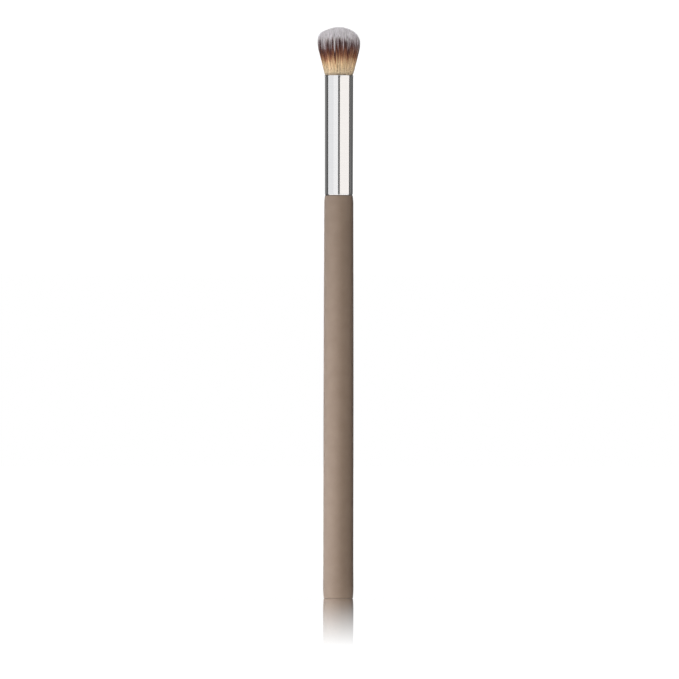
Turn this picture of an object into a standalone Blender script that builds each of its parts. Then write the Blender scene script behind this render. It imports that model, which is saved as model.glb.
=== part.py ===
"""Concealer brush: a turned handle, a drawn metal ferrule and a domed tuft of bristles.

Sizes are in metres and +Z is up. The origin is the centre of the handle's flat end,
which the brush stands on, and the tuft is at the top.
"""

import math

import bmesh
import bpy

# Handle, a turned rod with a tenon that fills the lower part of the ferrule
HANDLE_LENGTH = 0.1195
HANDLE_DIAMETER = 0.00894
SHOULDER_DIAMETER = 0.00866
SHOULDER_HEIGHT = 0.0022
SHOULDER_INSET = 0.0001
SHOULDER_ROUNDING = 1.7
TAPER_LENGTH = 0.072
FOOT_DIAMETER = 0.00902
FOOT_HEIGHT = 0.0034
FOOT_BLEND = 0.0085
END_DIAMETER = 0.00872
END_EDGE = 0.00022
TENON_CHAMFER = 0.0004

# Ferrule, a drawn tube that opens a little towards its rim and turns in at its foot
FERRULE_LENGTH = 0.0357
FERRULE_LOWER_DIAMETER = 0.0083
FERRULE_UPPER_DIAMETER = 0.00836
FERRULE_RIM_DIAMETER = 0.0087
FERRULE_FLARE = 0.0065
FERRULE_WALL = 0.00035
FERRULE_EDGE = 0.00012
LIP_HEIGHT = 0.0007
LIP_TURN = 0.00005

# Adhesive film round the tenon, and the resin under the bristle roots
ADHESIVE_THICKNESS = 0.00025
ADHESIVE_SETBACK = 0.0015
PLUG_LENGTH = 0.0028

# Tuft: its potted root inside the ferrule, and its free length above the rim
ROOT_DEPTH = 0.0120
ROOT_BELOW_RIM = 0.0012
TUFT_LENGTH = 0.0145
TUFT_DIAMETER = 0.0125
BAND_FOOT_DIAMETER = 0.0109
BAND_WIDTH = 0.0034
BAND_BELOW_DOME = 0.0034
DOME_HEIGHT = 0.0029
DOME_FULLNESS = 2.4
CROWN_TAPER = 0.05

# Strands of the tuft
STRAND_COUNT = 360
STRAND_FILL = 0.86
STRAND_TIP_SHARE = 0.62
STRAND_SINK = 0.0003
RAGGED_ENDS = 0.0004

# Running fits: round the pieces inside the bore, and between faces that meet
BORE_GAP = 0.0002
SEAT_GAP = 0.0003

# Facets round the turned pieces, and along their curved stretches
SIDES = 48
ROOT_SIDES = 32
ARC_STEPS = 5
EDGE_STEPS = 2
LIP_STEPS = 3
AXIS_MERGE = 0.000001
SHARP_ANGLE = math.radians(35)
# Turn from one strand to the next, and a step that spreads the lengths of their ends
GOLDEN_ANGLE = math.pi * (3.0 - math.sqrt(5.0))
RAGGED_STEP = math.sqrt(3.0)

# Heights along the brush
FERRULE_FOOT = HANDLE_LENGTH + SEAT_GAP
LIP_TOP = FERRULE_FOOT + LIP_HEIGHT
RIM = FERRULE_FOOT + FERRULE_LENGTH
ROOT_TOP = RIM - ROOT_BELOW_RIM
ROOT_FOOT = RIM - ROOT_DEPTH
STRAND_FOOT = ROOT_TOP - STRAND_SINK
PLUG_TOP = ROOT_FOOT - SEAT_GAP
PLUG_FOOT = PLUG_TOP - PLUG_LENGTH
TENON_TOP = PLUG_FOOT - SEAT_GAP
TUFT_TOP = RIM + TUFT_LENGTH
BAND_TOP = TUFT_TOP - DOME_HEIGHT - BAND_BELOW_DOME
BAND_FOOT = BAND_TOP - BAND_WIDTH

# Display colours, 0 to 255

TAUPE = (142, 124, 110)
POLISHED_METAL = (226, 225, 223)
AMBER_RESIN = (205, 182, 128)
CLEAR_ADHESIVE = (222, 214, 190)
TAN_BRISTLE = (196, 167, 130)
BROWN_BRISTLE = (100, 69, 59)
GREY_BRISTLE = (185, 178, 182)


def clear_scene():
    """Remove every object that the file opens with."""
    for item in list(bpy.data.objects):
        bpy.data.objects.remove(item)


def make_collection(name):
    """Return a new collection linked to the scene."""
    collection = bpy.data.collections.new(name)
    bpy.context.scene.collection.children.link(collection)
    return collection


def linear(colour):
    """Return a display colour of 0 to 255 as linear values with full alpha."""
    def channel(value):
        share = value / 255.0
        if share <= 0.04045:
            return share / 12.92
        return ((share + 0.055) / 1.055) ** 2.4
    return tuple(channel(value) for value in colour) + (1.0,)


def make_material(name, colour, roughness, metallic=0.0):
    """Return a Principled material of one display colour."""
    material = bpy.data.materials.new(name)
    material.use_nodes = True
    shader = material.node_tree.nodes["Principled BSDF"]
    shader.inputs["Base Color"].default_value = linear(colour)
    shader.inputs["Roughness"].default_value = roughness
    shader.inputs["Metallic"].default_value = metallic
    material.diffuse_color = linear(colour)
    return material


def arc(centre, radii, start, end, steps):
    """Return points of an elliptic arc, both ends included; angles are in degrees from +X."""
    points = []
    for step in range(steps + 1):
        angle = math.radians(start + (end - start) * step / steps)
        points.append((centre[0] + radii[0] * math.cos(angle),
                       centre[1] + radii[1] * math.sin(angle)))
    return points


def settle(source, collection, material):
    """Replace an object by a plain mesh object of its evaluated shape."""
    name = source.name
    graph = bpy.context.evaluated_depsgraph_get()
    mesh = bpy.data.meshes.new_from_object(source.evaluated_get(graph))
    place = source.matrix_world.copy()
    bpy.data.objects.remove(source)
    mesh.name = name
    mesh.materials.clear()
    mesh.materials.append(material)
    mesh.shade_smooth()
    mesh.set_sharp_from_angle(angle=SHARP_ANGLE)
    result = bpy.data.objects.new(name, mesh)
    result.matrix_world = place
    collection.objects.link(result)
    return result


def turned_piece(name, profile, closed, collection, material):
    """Turn a profile of (radius, height) points round the Z axis."""
    count = len(profile)
    edges = [(index, index + 1) for index in range(count - 1)]
    if closed:
        edges.append((count - 1, 0))
    mesh = bpy.data.meshes.new(name)
    mesh.from_pydata([(radius, 0.0, height) for radius, height in profile], edges, [])
    piece = bpy.data.objects.new(name, mesh)
    collection.objects.link(piece)
    screw = piece.modifiers.new("turn", "SCREW")
    screw.axis = "Z"
    screw.angle = math.tau
    screw.steps = SIDES
    screw.render_steps = SIDES
    screw.use_merge_vertices = True
    screw.merge_threshold = AXIS_MERGE
    return settle(piece, collection, material)


def ferrule_radius(height):
    """Return the ferrule's outer radius at a height."""
    flare_start = RIM - FERRULE_FLARE
    if height < LIP_TOP:
        share = (LIP_TOP - height) / LIP_HEIGHT
        return 0.5 * FERRULE_LOWER_DIAMETER - LIP_TURN * share ** 2
    if height <= flare_start:
        share = (height - LIP_TOP) / (flare_start - LIP_TOP)
        return 0.5 * (FERRULE_LOWER_DIAMETER
                      + (FERRULE_UPPER_DIAMETER - FERRULE_LOWER_DIAMETER) * share)
    share = (height - flare_start) / FERRULE_FLARE
    return 0.5 * (FERRULE_UPPER_DIAMETER
                  + (FERRULE_RIM_DIAMETER - FERRULE_UPPER_DIAMETER) * share ** 2)


def bore_radius(height):
    """Return the radius of the ferrule's bore at a height."""
    return ferrule_radius(height) - FERRULE_WALL


def adhesive_radius():
    """Return the outer radius of the adhesive film, which fits the narrow end of the bore."""
    return min(bore_radius(LIP_TOP), bore_radius(TENON_TOP)) - BORE_GAP


def tenon_radius():
    """Return the radius of the tenon, which clears the adhesive film and the ferrule's lip."""
    return min(adhesive_radius() - ADHESIVE_THICKNESS, bore_radius(FERRULE_FOOT)) - BORE_GAP


def handle_body():
    """Return the handle's outline between its shoulder and its flat end, downwards."""
    shoulder = 0.5 * SHOULDER_DIAMETER
    body = 0.5 * HANDLE_DIAMETER
    foot = 0.5 * FOOT_DIAMETER
    end = 0.5 * END_DIAMETER
    seat = 0.5 * FERRULE_LOWER_DIAMETER - SHOULDER_INSET
    shoulder_foot = HANDLE_LENGTH - SHOULDER_HEIGHT
    points = []
    for step in range(ARC_STEPS, -1, -1):
        share = step / ARC_STEPS
        points.append((shoulder - (shoulder - seat) * share ** SHOULDER_ROUNDING,
                       shoulder_foot + SHOULDER_HEIGHT * share))
    for step in range(1, ARC_STEPS + 1):
        share = step / ARC_STEPS
        points.append((shoulder + (body - shoulder) * math.sin(0.5 * math.pi * share),
                       shoulder_foot - TAPER_LENGTH * share))
    for step in range(ARC_STEPS + 1):
        share = step / ARC_STEPS
        swell = 0.5 - 0.5 * math.cos(math.pi * share)
        points.append((body + (foot - body) * swell,
                       FOOT_HEIGHT + FOOT_BLEND * (1.0 - share)))
    for step in range(1, ARC_STEPS):
        share = step / ARC_STEPS
        points.append((foot - (foot - end) * share ** 2,
                       FOOT_HEIGHT - (FOOT_HEIGHT - END_EDGE) * share))
    points += arc((end - END_EDGE, END_EDGE), (END_EDGE, END_EDGE), 0, -90, EDGE_STEPS)
    return points


def make_handle(collection, material):
    """Turn the handle with its tenon in one piece."""
    tenon = tenon_radius()
    profile = [(0.0, TENON_TOP), (tenon - TENON_CHAMFER, TENON_TOP)]
    profile += [(tenon, TENON_TOP - TENON_CHAMFER), (tenon, HANDLE_LENGTH)]
    profile += handle_body()
    profile.append((0.0, 0.0))
    return turned_piece("handle", profile, False, collection, material)


def make_ferrule(collection, material):
    """Turn the ferrule, open at both ends, with both of its rims eased."""
    edge = (FERRULE_EDGE, FERRULE_EDGE)
    heights = [RIM - FERRULE_FLARE * step / ARC_STEPS for step in range(1, ARC_STEPS + 1)]
    heights += [LIP_TOP - (LIP_HEIGHT - FERRULE_EDGE) * step / LIP_STEPS for step in range(LIP_STEPS)]
    rim_outer = ferrule_radius(RIM)
    rim_inner = bore_radius(RIM)
    foot_outer = ferrule_radius(FERRULE_FOOT)
    foot_inner = bore_radius(FERRULE_FOOT)
    high = RIM - FERRULE_EDGE
    low = FERRULE_FOOT + FERRULE_EDGE
    profile = arc((rim_outer - FERRULE_EDGE, high), edge, 90, 0, EDGE_STEPS)
    profile += [(ferrule_radius(height), height) for height in heights]
    profile += arc((foot_outer - FERRULE_EDGE, low), edge, 0, -90, EDGE_STEPS)
    profile += arc((foot_inner + FERRULE_EDGE, low), edge, -90, -180, EDGE_STEPS)
    profile += [(bore_radius(height), height) for height in reversed(heights)]
    profile += arc((rim_inner + FERRULE_EDGE, high), edge, 180, 90, EDGE_STEPS)
    return turned_piece("ferrule", profile, True, collection, material)


def make_adhesive_sleeve(collection, material):
    """Turn the film of adhesive between the tenon and the ferrule."""
    outer = adhesive_radius()
    inner = outer - ADHESIVE_THICKNESS
    top = TENON_TOP - ADHESIVE_SETBACK
    foot = LIP_TOP + SEAT_GAP
    profile = [(outer, top), (outer, foot), (inner, foot), (inner, top)]
    return turned_piece("adhesive_sleeve", profile, True, collection, material)


def make_resin_plug(collection, material):
    """Turn the resin that closes the bore between the tenon and the bristle roots."""
    radius = min(bore_radius(PLUG_FOOT), bore_radius(PLUG_TOP)) - BORE_GAP
    profile = [(0.0, PLUG_TOP), (radius, PLUG_TOP), (radius, PLUG_FOOT), (0.0, PLUG_FOOT)]
    return turned_piece("resin_plug", profile, False, collection, material)


def bundle_radius(height):
    """Return the radius of the whole bundle of strands at a height.

    It runs straight between a few stations, so at each height every strand stands at
    its place in the root times one factor, and no two strands can meet or cross.
    """
    band_foot = 0.5 * BAND_FOOT_DIAMETER
    widest = 0.5 * TUFT_DIAMETER
    rim_pass = bore_radius(RIM) - BORE_GAP
    spread = (band_foot - rim_pass) / (BAND_FOOT - RIM)
    stations = [(STRAND_FOOT, rim_pass - spread * (RIM - STRAND_FOOT)),
                (BAND_FOOT, band_foot),
                (BAND_TOP, widest),
                (TUFT_TOP, widest * (1.0 - CROWN_TAPER))]
    for (height_a, radius_a), (height_b, radius_b) in zip(stations, stations[1:]):
        if height <= height_b:
            break
    return radius_a + (radius_b - radius_a) * (height - height_a) / (height_b - height_a)


def strand_places(count):
    """Return the places of the strands in a disc of radius 1, in a sunflower spiral."""
    places = []
    for index in range(count):
        share = math.sqrt((index + 0.5) / count)
        angle = GOLDEN_ANGLE * index
        places.append((share * math.cos(angle), share * math.sin(angle)))
    return places


def least_spacing(places):
    """Return the least distance between two places."""
    return min(math.dist(first, second)
               for index, first in enumerate(places)
               for second in places[index + 1:])


def tip_height(share, index):
    """Return the height of a strand's end under the dome, at its share of the bundle's radius."""
    crown = 1.0 - share ** DOME_FULLNESS
    ragged = RAGGED_ENDS * (RAGGED_STEP * index % 1.0)
    return TUFT_TOP - DOME_HEIGHT * (1.0 - crown) - ragged


def make_triangle():
    """Return a closed triangular outline of radius 1, the section of a strand."""
    outline = bpy.data.curves.new("strand_section", "CURVE")
    outline.dimensions = "2D"
    spline = outline.splines.new("POLY")
    spline.points.add(2)
    for corner, point in enumerate(spline.points):
        angle = math.tau * corner / 3
        point.co = (math.cos(angle), math.sin(angle), 0.0, 1.0)
    spline.use_cyclic_u = True
    section = bpy.data.objects.new("strand_section", outline)
    section.hide_render = True
    section.display_type = "WIRE"
    return section


def make_strands(places, section, collection):
    """Return one curve object that holds every strand as a three-sided tube."""
    spacing = least_spacing(places)
    edge_share = 1.0 / (1.0 + 0.5 * STRAND_FILL * spacing)
    half_width = 0.5 * STRAND_FILL * spacing * edge_share
    print(f"least gap between strands at the root, as a share of its radius: "
          f"{spacing * edge_share - 2.0 * half_width:.4f}")
    curve = bpy.data.curves.new("strands", "CURVE")
    curve.dimensions = "3D"
    curve.bevel_mode = "OBJECT"
    curve.bevel_object = section
    curve.use_fill_caps = True
    for index, (across, along) in enumerate(places):
        tip = tip_height(math.hypot(across, along), index)
        heights = [STRAND_FOOT, BAND_FOOT, BAND_TOP, tip]
        spline = curve.splines.new("POLY")
        spline.points.add(len(heights) - 1)
        for height, point in zip(heights, spline.points):
            radius = bundle_radius(height)
            point.co = (across * edge_share * radius, along * edge_share * radius, height, 1.0)
            point.radius = half_width * radius * (STRAND_TIP_SHARE if height == tip else 1.0)
            point.tilt = GOLDEN_ANGLE * index
    strands = bpy.data.objects.new("strands", curve)
    collection.objects.link(strands)
    return strands


def make_tuft(collection, cutters, materials):
    """Join the strands to the potted root that holds them, in one piece."""
    section = make_triangle()
    cutters.objects.link(section)
    strands = make_strands(strand_places(STRAND_COUNT), section, cutters)
    strands = settle(strands, cutters, materials[0])
    shape = bmesh.new()
    shape.from_mesh(strands.data)
    bmesh.ops.remove_doubles(shape, verts=shape.verts, dist=AXIS_MERGE)
    bmesh.ops.recalc_face_normals(shape, faces=shape.faces)
    shape.to_mesh(strands.data)
    shape.free()
    strands.hide_render = True
    strands.display_type = "WIRE"

    radius = min(bore_radius(ROOT_FOOT), bore_radius(ROOT_TOP)) - BORE_GAP
    bpy.ops.mesh.primitive_cylinder_add(vertices=ROOT_SIDES, radius=radius, depth=ROOT_TOP - ROOT_FOOT,
                                        location=(0.0, 0.0, 0.5 * (ROOT_TOP + ROOT_FOOT)))
    tuft = bpy.context.object
    tuft.name = "bristle_tuft"
    for owner in tuft.users_collection:
        owner.objects.unlink(tuft)
    collection.objects.link(tuft)
    union = tuft.modifiers.new("strands", "BOOLEAN")
    union.operation = "UNION"
    union.object = strands
    tuft = settle(tuft, collection, materials[0])
    colour_zones(tuft, materials)
    return tuft


def colour_zones(tuft, materials):
    """Give the strands their tan, brown and grey stretches by the height of each face."""
    for material in materials[1:]:
        tuft.data.materials.append(material)
    base = tuft.matrix_world.translation.z
    for face in tuft.data.polygons:
        height = face.center.z + base
        face.material_index = (height > BAND_FOOT) + (height > BAND_TOP)


def main():
    """Build the brush."""
    clear_scene()
    brush = make_collection("concealer_brush")
    cutters = make_collection("cutters")
    make_handle(brush, make_material("taupe_soft_touch", TAUPE, 0.55))
    make_ferrule(brush, make_material("polished_metal", POLISHED_METAL, 0.12, metallic=1.0))
    make_adhesive_sleeve(brush, make_material("clear_adhesive", CLEAR_ADHESIVE, 0.35))
    make_resin_plug(brush, make_material("amber_resin", AMBER_RESIN, 0.3))
    bristles = [make_material("tan_bristle", TAN_BRISTLE, 0.5),
                make_material("brown_bristle", BROWN_BRISTLE, 0.5),
                make_material("grey_bristle", GREY_BRISTLE, 0.5)]
    make_tuft(brush, cutters, bristles)


main()
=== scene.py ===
"""Concealer brush, dressed: turned surfaces, thousands of dyed fibres and a white studio.

Sizes are in metres and +Z is up. The brush stands on its flat end at the origin, and the
side that the camera sees first faces -Y.
"""

import logging
import math
from dataclasses import dataclass, field
from enum import Enum

import bpy
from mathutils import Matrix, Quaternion, Vector


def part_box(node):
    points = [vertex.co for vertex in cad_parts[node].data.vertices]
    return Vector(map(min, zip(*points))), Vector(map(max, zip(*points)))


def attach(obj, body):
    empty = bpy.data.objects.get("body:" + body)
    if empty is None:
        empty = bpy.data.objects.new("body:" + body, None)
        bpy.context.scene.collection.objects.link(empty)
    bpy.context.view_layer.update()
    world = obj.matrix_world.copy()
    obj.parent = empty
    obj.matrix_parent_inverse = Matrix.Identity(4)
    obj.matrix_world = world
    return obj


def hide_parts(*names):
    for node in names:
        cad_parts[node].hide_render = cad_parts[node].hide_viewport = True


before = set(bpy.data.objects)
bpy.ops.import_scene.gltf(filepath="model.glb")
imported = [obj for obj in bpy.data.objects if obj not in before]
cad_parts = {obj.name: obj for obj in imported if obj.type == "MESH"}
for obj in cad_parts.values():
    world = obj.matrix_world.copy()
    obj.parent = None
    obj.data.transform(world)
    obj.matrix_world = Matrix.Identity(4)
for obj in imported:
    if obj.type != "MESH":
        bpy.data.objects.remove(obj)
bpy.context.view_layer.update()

LOG = logging.getLogger("concealer_brush")
BODY = "root"
FIBRE_MAP = "OFBake"
MAP_SPAN = (0.01, 0.99)
MERGE = 1e-7
GOLDEN_ANGLE = math.pi * (3.0 - math.sqrt(5.0))
WHITE = (1.0, 1.0, 1.0, 1.0)
DISPLAY_FULL = 255.0
DISPLAY_KNEE = 0.04045
DISPLAY_SLOPE = 12.92
DISPLAY_LIFT = 0.055
DISPLAY_GAMMA = 2.4
NODE_SPACING = 190.0
NOISE_SPAN = (0.3, 0.7)

Colour = tuple[float, float, float]
Span = tuple[float, float]
Profile = list[tuple[float, float]]
Piece = bpy.types.Object
Material = bpy.types.Material
Node = bpy.types.Node
Socket = bpy.types.NodeSocket
Amount = float | int | Material
Feed = Socket | tuple[float, ...] | float | int | str | None


def linear_channel(value: float) -> float:
    """Turn one channel of a display colour into linear light.

    Args:
        value: The channel, from 0 to 255.

    Returns:
        Its linear value, from 0 to 1.
    """
    share = value / DISPLAY_FULL
    if share <= DISPLAY_KNEE:
        return share / DISPLAY_SLOPE
    return ((share + DISPLAY_LIFT) / (1.0 + DISPLAY_LIFT)) ** DISPLAY_GAMMA


def linear(colour: Colour) -> tuple[float, float, float, float]:
    """Return a display colour in linear light, with full alpha."""
    return tuple(linear_channel(value) for value in colour) + (1.0,)


def arc(centre: tuple[float, float], radius: float, start: float, end: float, steps: int) -> Profile:
    """List the points of a circular arc.

    Args:
        centre: The arc's centre.
        radius: Its radius.
        start: The first angle, in degrees from the first axis.
        end: The last angle.
        steps: How many chords it has.

    Returns:
        The points, both ends included.
    """
    points = []
    for step in range(steps + 1):
        angle = math.radians(start + (end - start) * step / steps)
        points.append((centre[0] + radius * math.cos(angle), centre[1] + radius * math.sin(angle)))
    return points


def shares(steps: int) -> list[float]:
    """Return the even steps from 0 to 1, both included."""
    return [step / steps for step in range(steps + 1)]


def bare_material(name: str) -> Material:
    """Make a material without any nodes.

    Args:
        name: Its name.

    Returns:
        The material.
    """
    material = bpy.data.materials.new(name)
    material.use_nodes = True
    material.node_tree.nodes.clear()
    return material


class Sketch:
    """Adds nodes to a tree and links them as they are named."""

    def __init__(self, tree: bpy.types.NodeTree) -> None:
        """Keep the tree that the nodes go into."""
        self.tree = tree

    def put(self, kind: str, *feeds: Feed, **settings: object) -> Node:
        """Add a node.

        Args:
            kind: The node's type.
            feeds: A value or a socket for each live input in order, None to leave one as it is.
            settings: The node's own properties.

        Returns:
            The node.

        Raises:
            ValueError: If there are more feeds than live inputs.
        """
        node = self.tree.nodes.new(kind)
        node.location.x = NODE_SPACING * len(self.tree.nodes)
        for name, value in settings.items():
            setattr(node, name, value)
        live = [socket for socket in node.inputs if socket.enabled]
        if len(feeds) > len(live):
            raise ValueError(f"{kind} takes {len(live)} inputs")
        for socket, value in zip(live, feeds):
            self.feed(socket, value)
        return node

    def feed(self, socket: Socket, value: Feed) -> None:
        """Give an input its value, or link it to another node's output.

        Args:
            socket: The input.
            value: A plain value, an output, or None to leave the input as it is.
        """
        if value is None:
            return
        if isinstance(value, Socket):
            self.tree.links.new(value, socket)
        else:
            socket.default_value = value

    def out(self, kind: str, *feeds: Feed, **settings: object) -> Socket:
        """Add a node and return its first live output."""
        node = self.put(kind, *feeds, **settings)
        return next(socket for socket in node.outputs if socket.enabled)

    def math(self, operation: str, *feeds: Feed) -> Socket:
        """Add a Math node and return its result."""
        return self.out("ShaderNodeMath", *feeds, operation=operation)

    def ramp(self, value: Feed, low: Feed, high: Feed, first: Feed, last: Feed) -> Socket:
        """Map a value from one range to another, held at its ends."""
        return self.out("ShaderNodeMapRange", value, low, high, first, last, clamp=True)

    def join(self, x: Feed, y: Feed, z: Feed) -> Socket:
        """Make a vector of three values."""
        return self.out("ShaderNodeCombineXYZ", x, y, z)

    def split(self, vector: Feed) -> tuple[Socket, Socket, Socket]:
        """Return a vector's three values."""
        return tuple(self.put("ShaderNodeSeparateXYZ", vector).outputs)

    def length(self, vector: Feed) -> Socket:
        """Return a vector's length."""
        return self.put("ShaderNodeVectorMath", vector, operation="LENGTH").outputs["Value"]

    def scale(self, vector: Feed, amount: Feed) -> Socket:
        """Multiply a vector by a value.

        Args:
            vector: The vector.
            amount: The value.

        Returns:
            The product.
        """
        node = self.put("ShaderNodeVectorMath", vector, operation="SCALE")
        self.feed(node.inputs["Scale"], amount)
        return node.outputs["Vector"]

    def noise(self, where: Feed, scale: Feed, detail: float = 2.0, roughness: float = 0.6) -> Socket:
        """Return a noise value from 0 to 1."""
        return self.put("ShaderNodeTexNoise", where, scale, detail, roughness).outputs[0]

    def finish(self, kind: str, result: Socket) -> None:
        """End the tree in an output node of its kind."""
        self.tree.links.new(result, self.put(kind).inputs[0])


class GeometrySketch(Sketch):
    """A Geometry Nodes tree with named inputs."""

    KINDS: dict[type, str] = {
        float: "NodeSocketFloat",
        int: "NodeSocketInt",
        Material: "NodeSocketMaterial",
    }

    def __init__(self, name: str) -> None:
        """Start a tree that takes a geometry and gives one back.

        Args:
            name: The tree's name.
        """
        super().__init__(bpy.data.node_groups.new(name, "GeometryNodeTree"))
        for way in ("INPUT", "OUTPUT"):
            self.tree.interface.new_socket("Geometry", in_out=way, socket_type="NodeSocketGeometry")
        self.start = self.tree.nodes.new("NodeGroupInput")
        self.values: dict[str, Amount] = {}

    def value(self, name: str, amount: Amount) -> Socket:
        """Add a named input to the tree, unless it has that one.

        Args:
            name: The input's name.
            amount: What the modifier sets it to.

        Returns:
            The socket inside the tree.
        """
        if name not in self.start.outputs:
            kind = self.KINDS[type(amount)]
            item = self.tree.interface.new_socket(name, in_out="INPUT", socket_type=kind)
            self.values[item.identifier] = amount
        return self.start.outputs[name]

    def random(self, low: float, high: float, key: Feed, seed: int) -> Socket:
        """Return a random number that goes with a key."""
        return self.out("FunctionNodeRandomValue", low, high, key, seed, data_type="FLOAT")

    def position(self) -> Socket:
        """Return the place of each point."""
        return self.out("GeometryNodeInputPosition")

    def sample(self, geometry: Socket, index: Feed) -> Socket:
        """Return the place of one point of another geometry."""
        return self.out("GeometryNodeSampleIndex", geometry, self.position(), index,
                        data_type="FLOAT_VECTOR", domain="POINT")

    def keep(self, geometry: Socket, name: str, amount: Feed, kind: str, domain: str) -> Socket:
        """Store an amount on a geometry under a name."""
        return self.out("GeometryNodeStoreNamedAttribute", geometry, None, name, amount,
                        data_type=kind, domain=domain)

    def recall(self, name: str, kind: str) -> Socket:
        """Return what was stored under a name."""
        return self.out("GeometryNodeInputNamedAttribute", name, data_type=kind)

    def close(self, geometry: Socket, material: Material) -> None:
        """End the tree: instances made real, and the material set.

        Args:
            geometry: What the tree gives back.
            material: Its finish.
        """
        real = self.out("GeometryNodeRealizeInstances", geometry)
        coated = self.out("GeometryNodeSetMaterial", real, None, self.value("Material", material))
        self.finish("NodeGroupOutput", coated)

    def grow(self, name: str, mesh: bpy.types.Mesh) -> Piece:
        """Run the tree on a mesh.

        Args:
            name: The new piece's name.
            mesh: The mesh that goes in.

        Returns:
            A piece with the plain mesh that comes out.
        """
        source = bpy.data.objects.new(name + "_source", mesh)
        bpy.context.scene.collection.objects.link(source)
        modifier = source.modifiers.new(self.tree.name, "NODES")
        modifier.node_group = self.tree
        for identifier, amount in self.values.items():
            modifier[identifier] = amount
        graph = bpy.context.evaluated_depsgraph_get()
        grown = bpy.data.meshes.new_from_object(source.evaluated_get(graph))
        source.modifiers.remove(modifier)
        bpy.data.objects.remove(source)
        grown.name = name
        piece = bpy.data.objects.new(name, grown)
        bpy.context.scene.collection.objects.link(piece)
        return piece


@dataclass(frozen=True)
class Lathe:
    """Turns a profile round the Z axis with Geometry Nodes."""

    sides: int
    sharp: float = math.radians(40)

    def turn(self, name: str, profile: Profile, material: Material) -> Piece:
        """Turn a profile into a closed piece.

        Args:
            name: The piece's name.
            profile: Points of radius and height, down the outer side.
            material: The finish of the whole piece.

        Returns:
            The turned piece.
        """
        line = bpy.data.meshes.new(name + "_profile")
        edges = [(index, index + 1) for index in range(len(profile) - 1)]
        line.from_pydata([(radius, 0.0, height) for radius, height in profile], edges, [])
        sketch = GeometrySketch("turn_" + name)
        sides = sketch.value("Sides", self.sides)
        sharp = sketch.value("Sharp Angle", self.sharp)
        outline = sketch.start.outputs["Geometry"]
        rows = sketch.out("GeometryNodeAttributeDomainSize", outline, component="MESH")
        grid = sketch.out("GeometryNodeMeshGrid", 1.0, 1.0, sketch.math("ADD", sides, 1.0), rows)
        index = sketch.out("GeometryNodeInputIndex")
        column = sketch.math("FLOOR", sketch.math("DIVIDE", index, rows))
        row = sketch.math("SUBTRACT", index, sketch.math("MULTIPLY", column, rows))
        radius, _, height = sketch.split(sketch.sample(outline, row))
        angle = sketch.math("MULTIPLY", sketch.math("DIVIDE", column, sides), math.tau)
        place = sketch.join(sketch.math("MULTIPLY", radius, sketch.math("COSINE", angle)),
                            sketch.math("MULTIPLY", radius, sketch.math("SINE", angle)), height)
        spun = sketch.out("GeometryNodeSetPosition", grid, None, place)
        closed = sketch.out("GeometryNodeMergeByDistance", spun, None, MERGE)
        fold = sketch.out("GeometryNodeInputMeshEdgeAngle")
        edge = sketch.out("FunctionNodeCompare", fold, sharp, data_type="FLOAT",
                          operation="GREATER_THAN")
        marked = sketch.keep(closed, "sharp_edge", edge, "BOOLEAN", "EDGE")
        sketch.close(sketch.out("GeometryNodeSetShadeSmooth", marked), material)
        return sketch.grow(name, line)


def dress(piece: Piece, node: str) -> Piece:
    """Let a piece stand for a solid, whose part is hidden, and ride on the body.

    Args:
        piece: The piece.
        node: The solid's name.

    Returns:
        The piece.
    """
    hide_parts(node)
    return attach(piece, BODY)


class Shade(Sketch):
    """A material's nodes round one Principled shader."""

    def __init__(self, name: str) -> None:
        """Start a material.

        Args:
            name: Its name.
        """
        self.material = bpy.data.materials.new(name)
        self.material.use_nodes = True
        super().__init__(self.material.node_tree)
        self.shader = self.tree.nodes["Principled BSDF"]

    def set(self, **values: Feed) -> None:
        """Feed the Principled shader's inputs.

        Args:
            values: What each input gets, with its title written as words joined by underscores.
        """
        for name, value in values.items():
            title = name.replace("_", " ").title().replace("Ior", "IOR")
            self.feed(self.shader.inputs[title], value)

    def place(self) -> Socket:
        """Return the Object coordinates."""
        return self.put("ShaderNodeTexCoord").outputs["Object"]

    def stretch(self, where: Feed, scale: tuple[float, float, float]) -> Socket:
        """Scale coordinates by axis."""
        return self.out("ShaderNodeMapping", where, None, None, scale, vector_type="POINT")

    def blend(self, share: Feed, first: Feed, second: Feed, kind: str = "MIX") -> Socket:
        """Mix two colours.

        Args:
            share: How much the second colour counts, from 0 to 1.
            first: The first colour.
            second: The second colour.
            kind: The way they are mixed.

        Returns:
            The mixed colour.
        """
        node = self.tree.nodes.new("ShaderNodeMix")
        node.data_type = "RGBA"
        node.blend_type = kind
        colours = [socket for socket in node.inputs if socket.type == "RGBA"]
        for socket, value in zip([node.inputs[0], *colours], (share, first, second)):
            self.feed(socket, value)
        return next(socket for socket in node.outputs if socket.type == "RGBA")

    def bands(self, value: Feed, stops: tuple[tuple[float, Colour], ...]) -> Socket:
        """Colour a value from 0 to 1 by a row of stops.

        Args:
            value: The value.
            stops: The place and the colour of each stop.

        Returns:
            The colour.
        """
        ramp = self.put("ShaderNodeValToRGB", value)
        elements = ramp.color_ramp.elements
        while len(elements) < len(stops):
            elements.new(0.5)
        for element, (share, colour) in zip(elements, stops):
            element.position = share
            element.color = linear(colour)
        return ramp.outputs["Color"]

    def bump(self, height: Feed, depth: float) -> None:
        """Raise the surface by a height of 0 to 1."""
        self.feed(self.shader.inputs["Normal"], self.out("ShaderNodeBump", 1.0, depth, None, height))


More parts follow.
